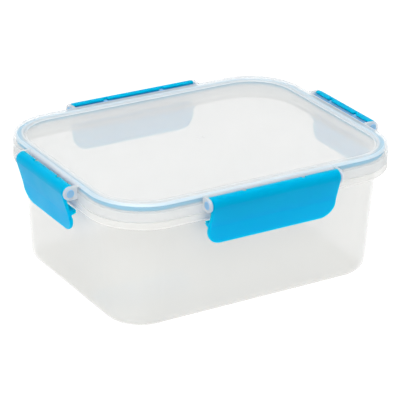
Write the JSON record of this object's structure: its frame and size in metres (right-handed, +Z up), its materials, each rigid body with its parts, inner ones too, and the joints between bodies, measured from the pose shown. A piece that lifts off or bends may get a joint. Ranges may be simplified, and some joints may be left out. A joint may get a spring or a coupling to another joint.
{
  "type": "snap lid food container",
  "caption": "Translucent rectangular food container with a sealing lid, held shut by hinged snap clips along its sides.",
  "frame": {"origin": "middle of the flat resting face under the tub", "axes": "+Z up, +X along the long side, -Y towards the front clip"},
  "size_m": [0.2512, 0.1992, 0.095],
  "materials": {
    "tub_plastic": "frosted translucent polypropylene, faintly warm, satin outside",
    "lid_plastic": "frosted translucent polypropylene, faintly cool, smooth rim",
    "gasket_silicone": "soft satin silicone, pale blue",
    "clip_plastic": "opaque bright blue, satin moulded"
  },
  "bodies": {
    "tub": {"tub": "tub_plastic"},
    "lid": {"lid": "lid_plastic", "gasket": "gasket_silicone"},
    "clip_front": {"clip_front": "clip_plastic"},
    "clip_back": {"clip_back": "clip_plastic"},
    "clip_left": {"clip_left": "clip_plastic"},
    "clip_right": {"clip_right": "clip_plastic"}
  },
  "joints": [
    {"name": "lid_lift", "type": "slide", "parent": "tub", "child": "lid", "axis": [0, 0, 1], "range_m": [0, 0.08]},
    {"name": "clip_front_hinge", "type": "hinge", "parent": "lid", "child": "clip_front", "pos_m": [0, -0.0946, 0.09], "axis": [-1, 0, 0], "range_deg": [-6, 100]},
    {"name": "clip_back_hinge", "type": "hinge", "parent": "lid", "child": "clip_back", "pos_m": [0, 0.0946, 0.09], "axis": [1, 0, 0], "range_deg": [-6, 100]},
    {"name": "clip_left_hinge", "type": "hinge", "parent": "lid", "child": "clip_left", "pos_m": [-0.1206, 0, 0.09], "axis": [0, 1, 0], "range_deg": [-6, 100]},
    {"name": "clip_right_hinge", "type": "hinge", "parent": "lid", "child": "clip_right", "pos_m": [0.1206, 0, 0.09], "axis": [0, -1, 0], "range_deg": [-6, 100]}
  ]
}
